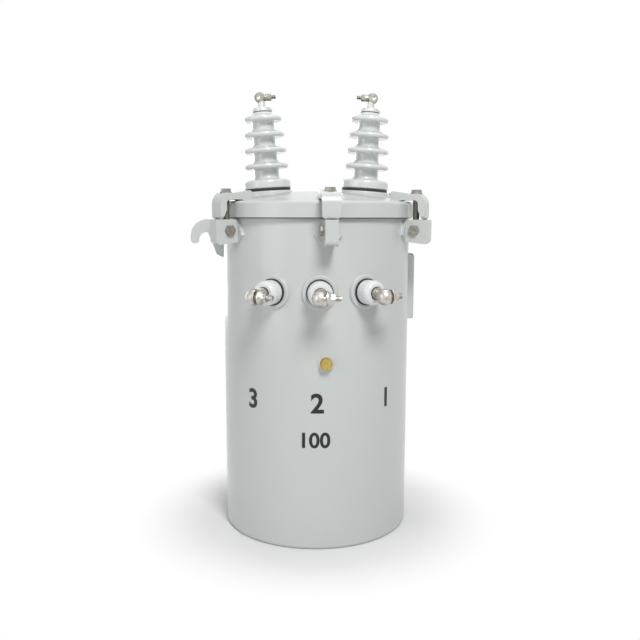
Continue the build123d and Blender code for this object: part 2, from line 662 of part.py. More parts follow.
for name, shape in pieces.items():
    export_step(shape, f"parts/{name}.step")
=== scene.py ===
import math

import bpy
from bpy.props import FloatProperty, FloatVectorProperty, PointerProperty
from mathutils import Matrix, Vector


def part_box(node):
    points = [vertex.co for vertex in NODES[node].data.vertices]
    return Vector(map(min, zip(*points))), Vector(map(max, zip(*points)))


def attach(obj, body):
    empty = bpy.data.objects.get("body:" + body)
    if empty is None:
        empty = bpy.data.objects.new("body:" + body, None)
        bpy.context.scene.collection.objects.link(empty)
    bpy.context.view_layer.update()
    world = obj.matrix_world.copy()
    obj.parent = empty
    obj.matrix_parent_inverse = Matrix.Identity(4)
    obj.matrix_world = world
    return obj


bl_info = {
    "name": "Pole mounted transformer",
    "version": (1, 0, 0),
    "blender": (4, 5, 0),
    "location": "View3D > Sidebar > Transformer",
    "description": "Finishes, weld beads, threads, numbers and studio for a pole mounted transformer",
    "category": "Object",
}

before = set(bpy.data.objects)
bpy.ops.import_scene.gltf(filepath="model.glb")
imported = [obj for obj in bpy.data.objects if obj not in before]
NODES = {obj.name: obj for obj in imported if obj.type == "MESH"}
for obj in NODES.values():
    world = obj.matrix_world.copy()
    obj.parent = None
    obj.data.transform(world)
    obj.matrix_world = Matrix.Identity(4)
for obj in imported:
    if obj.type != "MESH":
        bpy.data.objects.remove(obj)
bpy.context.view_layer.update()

# Sizes in metres and radians. Angles run from the low voltage side (-Y) towards +X.

# Tank and cover, from the frame
WALL_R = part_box("tank_wall")[1][0]
RIM_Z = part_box("cover")[0][2]
FLOOR_PLATE_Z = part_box("tank_bottom")[0][2]
FLOOR_WELD_R = WALL_R - 0.004
BACK_TURN = math.radians(180)

# Upright seam of the rolled wall, and how flat its bead lies
SEAM_TURN = math.radians(150)
SEAM_LOW = 0.012
SEAM_TOP = RIM_Z - 0.004
SEAM_FLAT = 0.25

# Cover clamps, and the six-sided foot of a clamp bracket on the wall
CLAMPS = 6
CLAMP_TURN = math.radians(4.7)
CLAMP_R = 0.279
ROD_FOOT = RIM_Z - 0.018
FOOT_TOP = RIM_Z - 0.009
FOOT_MIDDLE = RIM_Z - 0.0434
FOOT_LOW = RIM_Z - 0.061
FOOT_HALF = 0.0155
FOOT_MIDDLE_HALF = 0.033

# Lifting lugs
LUG_TURNS = {"left": math.radians(-97), "right": math.radians(113)}
LUG_HALF = 0.005
LUG_LOW = RIM_Z - 0.110

# Level plug
PLUG_TURN = math.radians(3.6)
PLUG_SEAT_R = 0.020

# Side plate: its folded edges, and its two legs on the wall
PLATE_TURN = math.radians(100)
PLATE_W = 0.084
PLATE_H = 0.180
PLATE_STAND = 0.014
PLATE_CORNER = 0.012
PLATE_T = 0.0022
EDGE_SUNK = 0.001
EDGE_ROUND = 0.0005
LEG_RISE = 0.054
LEG_HALF = 0.015
LEG_T_HALF = 0.0015

# Bushing seats and stud heads as (radius, height), and where their clamping bolts come out
HV_TILT = math.radians(3.8)
HV_SEAT = (0.130, 0.903)
HV_EYE_Z = 0.2451
HV_BOLT_START = 0.0271
LV_PITCH = math.radians(26.8)
LV_HEAD = (0.340, 0.649)
LV_BOLT_START = 0.0321

# Threads: radius, length and pitch
ROD_THREAD = (0.008, 0.070, 0.002)
HV_THREAD = (0.0045, 0.0118, 0.00125)
LV_THREAD = (0.006, 0.0148, 0.00175)

# Numbers: heights on the wall, start in front of it, lift and thickness of the ink
TERMINAL_NUMBER_Z = 0.377
UNIT_NUMBER_Z = 0.284
INK_START = 0.03
INK_LIFT = 0.0005
INK_T = 0.0004

# Digits: height as a share of the font's size, and how far they grow as a share of their height
DIGIT_SHARE = 0.69
DIGIT_BOLD = 0.035

# Floor: radius, the ring in which it turns from shaded to plain white, and its colours
FLOOR_R = 9.0
FADE_START = 0.25
FADE_END = 0.52
FLOOR_GREY = (0.88, 0.88, 0.88, 1)
WHITE = (1, 1, 1, 1)

# Lamps: place, point aimed at, width and height
LAMPS = {
    "key": ((0.6, -2.4, 2.9), (0, 0, 0.6), 0.9, 0.9),
    "fill": ((-2.6, -1.9, 1.3), (0, 0, 0.6), 1.6, 2.4),
    "top": ((0.3, 0.4, 3.2), (0, 0, 0.8), 1.8, 1.8),
    "back": ((-1.3, 2.9, 0.95), (0, 0, 0.5), 1.6, 1.6),
}


def from_srgb(r, g, b):
    """Screen colour 0 to 255 as linear values."""
    return tuple(((c / 255 + 0.055) / 1.055) ** 2.4 if c > 10 else c / 255 / 12.92 for c in (r, g, b))


# Sizes and colours a user would change

class FinishSettings(bpy.types.PropertyGroup):
    paint: FloatVectorProperty(
        name="Tank paint", description="Colour of the tank, cover and clamps",
        subtype="COLOR", size=3, min=0, max=1, default=from_srgb(203, 207, 205))
    glaze: FloatVectorProperty(
        name="Porcelain glaze", description="Colour of the high voltage porcelain",
        subtype="COLOR", size=3, min=0, max=1, default=from_srgb(218, 222, 221))
    moulded: FloatVectorProperty(
        name="Low voltage body", description="Colour of the low voltage insulators",
        subtype="COLOR", size=3, min=0, max=1, default=from_srgb(229, 230, 232))
    rubber: FloatVectorProperty(
        name="Gasket rubber", description="Colour of the gaskets and seals",
        subtype="COLOR", size=3, min=0, max=1, default=from_srgb(38, 38, 38))
    zinc: FloatVectorProperty(
        name="Galvanised bolts", description="Colour of the clamp bolts",
        subtype="COLOR", size=3, min=0, max=1, default=from_srgb(158, 155, 147))
    tin: FloatVectorProperty(
        name="Tinned connectors", description="Colour of the connectors and caps",
        subtype="COLOR", size=3, min=0, max=1, default=from_srgb(203, 199, 193))
    brass: FloatVectorProperty(
        name="Brass plug", description="Colour of the level plug",
        subtype="COLOR", size=3, min=0, max=1, default=from_srgb(196, 172, 98))
    paint_gloss: FloatProperty(
        name="Paint roughness", description="Mean roughness of the paint",
        subtype="FACTOR", min=0, max=1, default=0.33)
    peel: FloatProperty(
        name="Orange peel", description="Width of the ripples in the paint film",
        subtype="DISTANCE", unit="LENGTH", min=0.001, max=0.05, default=0.006)


class DetailSettings(bpy.types.PropertyGroup):
    bead: FloatProperty(
        name="Weld bead", description="Radius of the weld beads",
        subtype="DISTANCE", unit="LENGTH", min=0.0005, max=0.006, default=0.0022)
    ripple: FloatProperty(
        name="Weld ripple", description="Length of one ripple of a weld bead",
        subtype="DISTANCE", unit="LENGTH", min=0.0005, max=0.01, default=0.0018)
    digit: FloatProperty(
        name="Terminal number", description="Height of the terminal numbers",
        subtype="DISTANCE", unit="LENGTH", min=0.01, max=0.1, default=0.047)
    unit_number: FloatProperty(
        name="Unit number", description="Height of the number under the level plug",
        subtype="DISTANCE", unit="LENGTH", min=0.01, max=0.1, default=0.037)
    ink: FloatVectorProperty(
        name="Stencil ink", description="Colour of the numbers",
        subtype="COLOR", size=3, min=0, max=1, default=from_srgb(22, 22, 23))


class StudioSettings(bpy.types.PropertyGroup):
    key: FloatProperty(
        name="Key light", description="Power of the soft box in front at the right",
        subtype="POWER", unit="POWER", min=0, default=68.0)
    fill: FloatProperty(
        name="Fill light", description="Power of the large panel at the left",
        subtype="POWER", unit="POWER", min=0, default=16.0)
    top: FloatProperty(
        name="Top light", description="Power of the panel over the object",
        subtype="POWER", unit="POWER", min=0, default=15.0)
    back: FloatProperty(
        name="Back light", description="Power of the panel behind the object",
        subtype="POWER", unit="POWER", min=0, default=26.0)
    ambient: FloatProperty(
        name="Room light", description="Strength of the even light of the room",
        min=0, max=2, default=0.27)
    distance: FloatProperty(
        name="Camera distance", description="Level distance of the camera from the tank axis",
        subtype="DISTANCE", unit="LENGTH", min=0.5, default=2.0515)
    height: FloatProperty(
        name="Camera height", description="Height of the camera over the floor",
        subtype="DISTANCE", unit="LENGTH", min=0, default=0.834)
    azimuth: FloatProperty(
        name="Camera side angle", description="Turn of the camera round the tank from its front",
        subtype="ANGLE", unit="ROTATION", default=math.radians(-2.0))
    pitch: FloatProperty(
        name="Camera tilt", description="How far the camera looks down",
        subtype="ANGLE", unit="ROTATION", default=math.radians(7.782))
    aside: FloatProperty(
        name="Camera aim", description="How far the camera aims past the axis, to the right",
        subtype="ANGLE", unit="ROTATION", default=math.radians(0.306))
    roll: FloatProperty(
        name="Camera roll", description="Roll of the camera",
        subtype="ANGLE", unit="ROTATION", default=math.radians(0.112))
    lens: FloatProperty(
        name="Lens", description="Focal length on a 36 mm sensor",
        min=10, max=300, default=42.1875)


# Node helpers

def add_node(tree, kind, x, y, **values):
    node = tree.nodes.new(kind)
    node.location = (x, y)
    for name, value in values.items():
        setattr(node, name, value)
    return node


def feed(tree, sink, source):
    """Give a socket a plain value, or a link from another socket."""
    if isinstance(source, bpy.types.NodeSocket):
        tree.links.new(source, sink)
    else:
        sink.default_value = source


def preset(tree, node, inputs):
    """Feed a node's inputs by their names."""
    for label, source in inputs.items():
        feed(tree, node.inputs[label], source)
    return node


def calc(tree, operation, x, y, *inputs):
    """Math node on values or sockets."""
    node = add_node(tree, "ShaderNodeMath", x, y, operation=operation)
    for sink, source in zip(node.inputs, inputs):
        feed(tree, sink, source)
    return node.outputs[0]


def noise(tree, place, x, y, inputs):
    node = add_node(tree, "ShaderNodeTexNoise", x, y)
    return preset(tree, node, {"Vector": place, **inputs}).outputs["Fac"]


def spread(tree, value, x, y, low, high, inputs=None):
    """Stretch the span from low to high over 0 to 1, or over the ends given."""
    node = add_node(tree, "ShaderNodeMapRange", x, y)
    preset(tree, node, {"Value": value, "From Min": low, "From Max": high, **(inputs or {})})
    return node.outputs["Result"]


def mix_colours(tree, x, y, factor, first, second):
    node = add_node(tree, "ShaderNodeMix", x, y, data_type="RGBA")
    return preset(tree, node, {"Factor": factor, "A": first, "B": second}).outputs["Result"]


def new_group(name, inputs, outputs):
    """Shader node group with named sockets: (name, type, default)."""
    tree = bpy.data.node_groups.new(name, "ShaderNodeTree")
    for label, kind, default in inputs:
        tree.interface.new_socket(label, in_out="INPUT", socket_type=kind).default_value = default
    for label, kind in outputs:
        tree.interface.new_socket(label, in_out="OUTPUT", socket_type=kind)
    source = add_node(tree, "NodeGroupInput", -900, 0)
    sink = add_node(tree, "NodeGroupOutput", 700, 0)
    place = add_node(tree, "ShaderNodeTexCoord", -900, -300).outputs["Object"]
    return tree, source.outputs, sink.inputs, place


SURFACE = [("Color", "NodeSocketColor"), ("Roughness", "NodeSocketFloat"), ("Normal", "NodeSocketVector")]


def film_group():
    """Sprayed film: soft orange peel, runs in tone, fine dust."""
    tree, given, out, place = new_group(
        "Sprayed film",
        [("Color", "NodeSocketColor", (0.6, 0.6, 0.6, 1)), ("Roughness", "NodeSocketFloat", 0.35),
         ("Ripples per metre", "NodeSocketFloat", 160.0), ("Ripple height", "NodeSocketFloat", 0.00006),
         ("Tone", "NodeSocketFloat", 0.03), ("Dust", "NodeSocketFloat", 0.05)], SURFACE)
    ripple = noise(tree, place, -600, -350,
                   {"Scale": given["Ripples per metre"], "Detail": 2.5, "Roughness": 0.45})
    bump = preset(tree, add_node(tree, "ShaderNodeBump", 400, -350),
                  {"Strength": 0.6, "Height": ripple, "Distance": given["Ripple height"]})
    cloud = noise(tree, place, -600, 150, {"Scale": 4.0, "Detail": 5.0})
    darkest = calc(tree, "SUBTRACT", -350, 350, 1.0, given["Tone"])
    tone = spread(tree, cloud, -350, 150, 0.3, 0.7, {"To Min": 1.0, "To Max": darkest})
    tint = add_node(tree, "ShaderNodeVectorMath", -100, 200, operation="SCALE")
    feed(tree, tint.inputs[0], given["Color"])
    feed(tree, tint.inputs["Scale"], tone)
    speck = noise(tree, place, -600, -80, {"Scale": 900.0, "Detail": 1.0})
    dust = calc(tree, "MULTIPLY", -100, -60, spread(tree, speck, -350, -80, 0.68, 0.76), given["Dust"])
    dusty = mix_colours(tree, 150, 150, dust, tint.outputs[0], (0.16, 0.15, 0.13, 1))
    rough = calc(tree, "MULTIPLY_ADD", 150, -120, cloud, 0.12, given["Roughness"])
    feed(tree, out["Color"], dusty)
    feed(tree, out["Roughness"], calc(tree, "SUBTRACT", 330, -120, rough, 0.06))
    feed(tree, out["Normal"], bump.outputs["Normal"])
    return tree


def grain_group():
    """Handled metal: mottled tone, grain and small dents."""
    tree, given, out, place = new_group(
        "Handled metal",
        [("Color", "NodeSocketColor", (0.6, 0.6, 0.6, 1)), ("Dark", "NodeSocketColor", (0.2, 0.2, 0.2, 1)),
         ("Stain", "NodeSocketFloat", 0.5), ("Roughness", "NodeSocketFloat", 0.4),
         ("Grains per metre", "NodeSocketFloat", 500.0), ("Grain height", "NodeSocketFloat", 0.0001)],
        SURFACE)
    patch = noise(tree, place, -600, 150, {"Scale": 120.0, "Detail": 6.0, "Roughness": 0.62})
    stain = calc(tree, "MULTIPLY", -120, 150, spread(tree, patch, -350, 150, 0.42, 0.68), given["Stain"])
    grain = noise(tree, place, -600, -250, {"Scale": given["Grains per metre"], "Detail": 3.0})
    bump = preset(tree, add_node(tree, "ShaderNodeBump", 400, -300),
                  {"Height": grain, "Distance": given["Grain height"]})
    feed(tree, out["Color"], mix_colours(tree, 120, 150, stain, given["Color"], given["Dark"]))
    feed(tree, out["Roughness"], calc(tree, "MULTIPLY_ADD", -120, -60, stain, 0.25, given["Roughness"]))
    feed(tree, out["Normal"], bump.outputs["Normal"])
    return tree


def finish(name, group, values, metallic=0.0, coat=0.0, coat_rough=0.1, ior=1.5):
    """Material whose shader reads one of the shared groups."""
    material = bpy.data.materials.new(name)
    material.use_nodes = True
    tree = material.node_tree
    tree.nodes.clear()
    out = add_node(tree, "ShaderNodeOutputMaterial", 500, 0)
    shader = add_node(tree, "ShaderNodeBsdfPrincipled", 200, 0)
    tree.links.new(shader.outputs[0], out.inputs["Surface"])
    shader.inputs["Metallic"].default_value = metallic
    shader.inputs["Coat Weight"].default_value = coat
    shader.inputs["Coat Roughness"].default_value = coat_rough
    shader.inputs["IOR"].default_value = ior
    effect = add_node(tree, "ShaderNodeGroup", -100, 0)
    effect.node_tree = group
    for label, value in values.items():
        effect.inputs[label].default_value = value
    for source, sink in (("Color", "Base Color"), ("Roughness", "Roughness"), ("Normal", "Normal")):
        tree.links.new(effect.outputs[source], shader.inputs[sink])
    return material


def opaque(colour):
    return (*colour, 1.0)


def paint(name, extra):
    settings = bpy.context.scene.transformer_finish
    values = {"Color": opaque(settings.paint), "Roughness": settings.paint_gloss,
              "Ripples per metre": 1 / settings.peel}
    values.update(extra)
    return finish(name, bpy.data.node_groups["Sprayed film"], values, coat=0.35, coat_rough=0.12)


def put_on(material, names):
    """Give a material to CAD nodes."""
    for name in names:
        for slot in NODES[name].material_slots:
            slot.link = "OBJECT"
            slot.material = material


def starting(*heads):
    return [name for name in NODES if name.startswith(heads)]


class OBJECT_OT_transformer_paint(bpy.types.Operator):
    """Paint the tank, cover, clamps and lugs"""
    bl_idname = "object.transformer_paint"
    bl_label = "Paint the steelwork"

    def execute(self, context):
        film_group()
        put_on(paint("tank_paint", {"Tone": 0.03}),
               starting("tank_", "core_and_oil", "lv_bosses", "plug_boss", "support_lug"))
        put_on(paint("cover_paint", {"Roughness": 0.24, "Tone": 0.02, "Ripple height": 0.00004}), ["cover"])
        put_on(paint("cast_paint", {"Roughness": 0.26, "Tone": 0.05, "Ripples per metre": 90.0,
                                    "Ripple height": 0.00022, "Dust": 0.25}),
               starting("clamp_", "lifting_lug"))
        return {"FINISHED"}


class OBJECT_OT_transformer_insulators(bpy.types.Operator):
    """Glaze the porcelain and colour the moulded bodies"""
    bl_idname = "object.transformer_insulators"
    bl_label = "Finish the insulators"

    def execute(self, context):
        settings = context.scene.transformer_finish
        film = bpy.data.node_groups["Sprayed film"]
        put_on(finish("porcelain_glaze", film,
                      {"Color": opaque(settings.glaze), "Roughness": 0.18, "Ripples per metre": 70.0,
                       "Ripple height": 0.00012, "Tone": 0.05, "Dust": 0.3}, coat=0.6, coat_rough=0.08),
               starting("hv_insulator"))
        put_on(finish("moulded_body", film,
                      {"Color": opaque(settings.moulded), "Roughness": 0.3, "Ripples per metre": 120.0,
                       "Ripple height": 0.00003, "Tone": 0.03, "Dust": 0.1}, coat=0.25),
               starting("lv_insulator"))
        put_on(finish("gasket_rubber", film,
                      {"Color": opaque(settings.rubber), "Roughness": 0.6, "Ripples per metre": 900.0,
                       "Ripple height": 0.00012, "Tone": 0.3, "Dust": 0.5}),
               starting("cover_gasket", "hv_gaskets", "hv_seals", "lv_gaskets", "lv_seals"))
        return {"FINISHED"}


class OBJECT_OT_transformer_metals(bpy.types.Operator):
    """Finish bolts, connectors and the brass plug"""
    bl_idname = "object.transformer_metals"
    bl_label = "Finish the bare metal"

    def execute(self, context):
        settings = context.scene.transformer_finish
        grain = grain_group()
        put_on(finish("zinc_bolts", grain,
                      {"Color": opaque(settings.zinc), "Dark": opaque(from_srgb(98, 92, 80)),
                       "Stain": 0.6, "Roughness": 0.42, "Grain height": 0.00025}, metallic=0.85),
               ["swing_bolts", "cross_bolts"])
        put_on(finish("tinned_metal", grain,
                      {"Color": opaque(settings.tin), "Dark": opaque(from_srgb(122, 110, 96)),
                       "Stain": 0.55, "Roughness": 0.3, "Grain height": 0.00016}, metallic=0.95),
               starting("lv_terminal", "lv_keeper", "lv_nuts"))
        put_on(finish("dull_cap", grain,
                      {"Color": opaque(from_srgb(214, 216, 214)), "Dark": opaque(from_srgb(150, 148, 142)),
                       "Stain": 0.3, "Roughness": 0.4, "Grain height": 0.0001}, metallic=0.6),
               starting("hv_cap"))
        put_on(finish("aged_connector", grain,
                      {"Color": opaque(from_srgb(166, 166, 154)), "Dark": opaque(from_srgb(92, 91, 76)),
                       "Stain": 0.7, "Roughness": 0.32, "Grain height": 0.0002}, metallic=0.9),
               starting("hv_eyebolt", "hv_nuts"))
        put_on(finish("plug_brass", grain,
                      {"Color": opaque(settings.brass), "Dark": opaque(from_srgb(120, 96, 44)),
                       "Stain": 0.5, "Roughness": 0.3, "Grain height": 0.00012}, metallic=1.0),
               ["level_plug"])
        return {"FINISHED"}


# Modelling helpers

def outward(turn, radius, z):
    """Place on the tank: X to the right, Y up, Z pointing out."""
    sine, cosine = math.sin(turn), math.cos(turn)
    return Matrix(((cosine, 0, sine, radius * sine), (sine, 0, -cosine, -radius * cosine),
                   (0, 1, 0, z), (0, 0, 0, 1)))


def clamp_turn(i):
    return CLAMP_TURN + i * math.tau / CLAMPS


def hv_seat(side):
    """Place of a high voltage seat: Z along the leaning bushing, X away from the tank axis."""
    return (Matrix.Translation((side * HV_SEAT[0], 0, HV_SEAT[1])) @ Matrix.Rotation(side * HV_TILT, 4, "Y")
            @ Matrix.Rotation(math.pi * (side < 0), 4, "Z"))


def middle_z(node):
    low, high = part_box(node)
    return (low[2] + high[2]) / 2


def finished(piece, name, material):
    """Name a piece, give it a material and hang it on the body."""
    piece.name = name
    piece.data.name = name
    piece.data.materials.clear()
    piece.data.materials.append(material)
    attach(piece, "root")
    return piece


def copied(source, place, name, material):
    """Copy of a piece with its own mesh, put in its place."""
    piece = source.copy()
    piece.data = source.data.copy()
    piece.data.transform(place)
    bpy.context.scene.collection.objects.link(piece)
    return finished(piece, name, material)


def only(piece):
    bpy.ops.object.select_all(action="DESELECT")
    piece.select_set(True)
    bpy.context.view_layer.objects.active = piece


def shaded(angle):
    bpy.ops.object.shade_smooth_by_angle(angle=angle)


def modified(kind, **values):
    """Add a modifier to the active piece and apply it."""
    modifier = bpy.context.object.modifiers.new(kind.title(), kind)
    for key, value in values.items():
        setattr(modifier, key, value)
    bpy.ops.object.modifier_apply(modifier=modifier.name)


def points_between(corners, step, closed):
    """Corners with even points between them, about a step apart."""
    ends = corners[1:] + corners[:1] if closed else corners[1:]
    points = []
    for start, end in zip(corners, ends):
        start, end = Vector(start), Vector(end)
        count = max(1, round((end - start).length / step))
        points += [start.lerp(end, i / count) for i in range(count)]
    return points if closed else points + [Vector(corners[-1])]


def bead(corners, radius, step, closed=True):
    """Rippled weld bead along a run of corners, as a mesh."""
    waist = 0.84
    points = points_between(corners, step, closed)
    curve = bpy.data.curves.new("bead", "CURVE")
    curve.dimensions = "3D"
    curve.bevel_depth = radius
    curve.bevel_resolution = 1
    curve.use_fill_caps = True
    run = curve.splines.new("POLY")
    run.points.add(len(points) - 1)
    run.use_cyclic_u = closed
    for i, (point, place) in enumerate(zip(run.points, points)):
        point.co = (*place, 1)
        point.radius = 1.0 if i % 2 else waist
    piece = bpy.data.objects.new("bead", curve)
    bpy.context.scene.collection.objects.link(piece)
    only(piece)
    bpy.ops.object.convert(target="MESH")
    shaded(math.radians(60))
    return bpy.context.object


def on_wall(turn, corners):
    """Corners given as (right, up) on the tank, as points on its wall."""
    points = []
    for right, up in corners:
        across = math.sqrt(WALL_R ** 2 - right ** 2)
        points.append(Matrix.Rotation(turn, 4, "Z") @ Vector((right, -across, up)))
    return points


def oblong(half, first, second):
    """Corners of an oblong about the middle, from one height to another."""
    return [(-half, first), (half, first), (half, second), (-half, second)]


def circle(radius, height=0.0):
    """Corners of a many-sided ring."""
    turns = [i * math.tau / 60 for i in range(60)]
    return [(radius * math.cos(a), height + radius * math.sin(a)) for a in turns]


def thread(radius, length, pitch):
    """Helical ridge round Z from the origin upwards."""
    ridge = 0.56 * pitch
    bpy.ops.object.select_all(action="DESELECT")
    bpy.ops.mesh.primitive_circle_add(vertices=3, radius=ridge, location=(radius, 0, pitch / 2),
                                      rotation=(math.pi / 2, math.pi / 2, 0))
    piece = bpy.context.object
    bpy.ops.object.transform_apply(location=True, rotation=True, scale=True)
    modified("SCREW", axis="Z", screw_offset=pitch, angle=math.tau, steps=18, render_steps=18,
             iterations=int(length / pitch) - 1, use_smooth_shade=False)
    bpy.ops.object.mode_set(mode="EDIT")
    bpy.ops.mesh.select_all(action="SELECT")
    bpy.ops.mesh.remove_doubles(threshold=1e-6)
    bpy.ops.mesh.fill_holes(sides=3)
    bpy.ops.mesh.normals_make_consistent(inside=False)
    bpy.ops.object.mode_set(mode="OBJECT")
    shaded(math.radians(40))
    return piece


def threads(size, places, node):
    """Thread cut once and copied to its places, with the finish of the CAD node it is on."""
    look = NODES[node].material_slots[0].material
    ridge = thread(*size)
    for name, place in places.items():
        copied(ridge, place, f"thread_{name}", look)
    bpy.data.objects.remove(ridge)


class OBJECT_OT_transformer_welds(bpy.types.Operator):
    """Lay the weld beads of brackets, lugs, legs, plug seat, floor plate and back seam"""
    bl_idname = "object.transformer_welds"
    bl_label = "Lay the weld beads"

    def execute(self, context):
        settings = context.scene.transformer_details
        look = paint("weld_paint", {"Roughness": 0.3, "Tone": 0.06, "Ripples per metre": 300.0,
                                    "Ripple height": 0.0002, "Dust": 0.3})

        def weld(name, points, size=1.0, closed=True):
            run = bead(points, settings.bead * size, settings.ripple, closed)
            finished(run, f"weld_{name}", look)

        foot = [(-FOOT_HALF, FOOT_TOP), (FOOT_HALF, FOOT_TOP), (FOOT_MIDDLE_HALF, FOOT_MIDDLE),
                (FOOT_HALF, FOOT_LOW), (-FOOT_HALF, FOOT_LOW), (-FOOT_MIDDLE_HALF, FOOT_MIDDLE)]
        for i in range(CLAMPS):
            weld(f"bracket_{i + 1}", on_wall(clamp_turn(i), foot))
        for side, turn in LUG_TURNS.items():
            weld(f"lug_{side}", on_wall(turn, oblong(LUG_HALF, FOOT_TOP, LUG_LOW)), 1.3)
        for level in ("low", "top"):
            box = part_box(f"support_lug_{level}")
            for side, right in (("left", box[1][0]), ("right", box[0][0])):
                run = on_wall(BACK_TURN, [(right, box[0][2]), (right, box[1][2])])
                weld(f"support_{level}_{side}", run, 1.5, closed=False)
        for level, rise in (("low", -LEG_RISE), ("top", LEG_RISE)):
            up = middle_z("side_plate") + rise
            leg = oblong(LEG_HALF, up - LEG_T_HALF, up + LEG_T_HALF)
            weld(f"plate_{level}", on_wall(PLATE_TURN, leg), 0.8)
        weld("plug", on_wall(PLUG_TURN, circle(PLUG_SEAT_R, middle_z("plug_boss"))), 0.8)
        weld("floor", [(x, y, FLOOR_PLATE_Z) for x, y in circle(FLOOR_WELD_R)], 1.3)
        seam = bead([(0, 0, SEAM_LOW), (0, 0, SEAM_TOP)], settings.bead * 1.5, settings.ripple * 1.4,
                    closed=False)
        seam.data.transform(outward(SEAM_TURN, WALL_R, 0) @ Matrix.Diagonal((1, 1, SEAM_FLAT, 1))
                            @ Matrix.Rotation(-math.pi / 2, 4, "X"))
        finished(seam, "weld_back_seam", look)
        return {"FINISHED"}


class OBJECT_OT_transformer_plate_edges(bpy.types.Operator):
    """Turn the side plate's two upright edges back to the wall"""
    bl_idname = "object.transformer_plate_edges"
    bl_label = "Fold the side plate's edges"

    def execute(self, context):
        look = paint("plate_paint", {"Roughness": 0.3, "Tone": 0.03})
        put_on(look, ["side_plate"])
        foot = math.sqrt(WALL_R ** 2 - (PLATE_W / 2) ** 2) - EDGE_SUNK
        depth = WALL_R + PLATE_STAND - foot
        bpy.ops.object.select_all(action="DESELECT")
        bpy.ops.mesh.primitive_plane_add(size=1, location=(0, 0, 0))
        flange = context.object
        flange.scale = (depth, PLATE_H, 1)
        bpy.ops.object.transform_apply(location=True, rotation=True, scale=True)
        bpy.ops.object.mode_set(mode="EDIT")
        bpy.ops.mesh.select_mode(type="VERT")
        bpy.ops.mesh.select_all(action="DESELECT")
        bpy.ops.object.mode_set(mode="OBJECT")
        for corner in flange.data.vertices:
            corner.select = corner.co.x > 0
        bpy.ops.object.mode_set(mode="EDIT")
        bpy.ops.mesh.bevel(offset=PLATE_CORNER, segments=6, affect="VERTICES")
        bpy.ops.object.mode_set(mode="OBJECT")
        modified("SOLIDIFY", thickness=PLATE_T, offset=0)
        modified("BEVEL", width=EDGE_ROUND, segments=2, limit_method="ANGLE")
        shaded(math.radians(20))
        for side, name in ((-1, "front"), (1, "back")):
            place = (outward(PLATE_TURN, 0, middle_z("side_plate"))
                     @ Matrix.Translation((side * (PLATE_W - PLATE_T) / 2, 0, foot + depth / 2))
                     @ Matrix.Rotation(-math.pi / 2, 4, "Y"))
            copied(flange, place, f"plate_edge_{name}", look)
        bpy.data.objects.remove(flange)
        return {"FINISHED"}


class OBJECT_OT_transformer_threads(bpy.types.Operator):
    """Cut the threads of the cover bolts and the connectors"""
    bl_idname = "object.transformer_threads"
    bl_label = "Cut the threads"

    def execute(self, context):
        rods = {}
        for i in range(CLAMPS):
            turn = clamp_turn(i)
            foot = (CLAMP_R * math.sin(turn), -CLAMP_R * math.cos(turn), ROD_FOOT)
            rods[f"rod_{i + 1}"] = Matrix.Translation(foot)
        threads(ROD_THREAD, rods, "swing_bolts")
        along = Matrix.Translation((-HV_BOLT_START, 0, HV_EYE_Z)) @ Matrix.Rotation(-math.pi / 2, 4, "Y")
        threads(HV_THREAD, {"hv_left": hv_seat(-1) @ along, "hv_right": hv_seat(1) @ along}, "hv_nuts")
        along = Matrix.Translation((LV_BOLT_START, 0, 0)) @ Matrix.Rotation(math.pi / 2, 4, "Y")
        sides = {"lv_left": -1, "lv_middle": 0, "lv_right": 1}
        threads(LV_THREAD, {name: outward(side * LV_PITCH, *LV_HEAD) @ along for name, side in sides.items()},
                "lv_nuts")
        return {"FINISHED"}


class OBJECT_OT_transformer_numbers(bpy.types.Operator):
    """Stencil plain numbers under the terminals and the level plug"""
    bl_idname = "object.transformer_numbers"
    bl_label = "Stencil the numbers"

    def execute(self, context):
        settings = context.scene.transformer_details
        ink = finish("stencil_ink", bpy.data.node_groups["Sprayed film"],
                     {"Color": opaque(settings.ink), "Roughness": 0.42, "Ripples per metre": 220.0,
                      "Ripple height": 0.00003, "Tone": 0.1, "Dust": 0.05})
        # Text, turn in degrees, height on the wall, height of a digit
        marks = [("3", -41.5, TERMINAL_NUMBER_Z, settings.digit),
                 ("2", -1.2, TERMINAL_NUMBER_Z, settings.digit),
                 ("1", 43.5, TERMINAL_NUMBER_Z, settings.digit),
                 ("100", -2.9, UNIT_NUMBER_Z, settings.unit_number)]
        for text, turn, height, tall in marks:
            bpy.ops.object.select_all(action="DESELECT")
            bpy.ops.object.text_add(location=(0, 0, 0))
            letters = context.object.data
            letters.body = text
            letters.size = tall / DIGIT_SHARE
            letters.offset = tall * DIGIT_BOLD
            letters.align_x = "CENTER"
            letters.align_y = "CENTER"
            bpy.ops.object.convert(target="MESH")
            mark = context.object
            bpy.ops.object.mode_set(mode="EDIT")
            bpy.ops.mesh.select_all(action="SELECT")
            bpy.ops.mesh.remove_doubles(threshold=1e-6)
            bpy.ops.mesh.subdivide(number_cuts=5)
            bpy.ops.object.mode_set(mode="OBJECT")
            mark.data.transform(Matrix.Translation((0, -WALL_R - INK_START, height))
                                @ Matrix.Rotation(math.pi / 2, 4, "X"))
            modified("SHRINKWRAP", target=NODES["tank_wall"], wrap_method="PROJECT", use_project_y=True,
                     use_negative_direction=True, use_positive_direction=True, offset=INK_LIFT)
            modified("SOLIDIFY", thickness=INK_T, offset=-1)
            mark.data.transform(Matrix.Rotation(math.radians(turn), 4, "Z"))
            finished(mark, f"number_{text}", ink)
        return {"FINISHED"}


# Studio

def emptied(data):
    """Node tree of a new material or world, without its default nodes."""
    data.use_nodes = True
    data.node_tree.nodes.clear()
    return data.node_tree


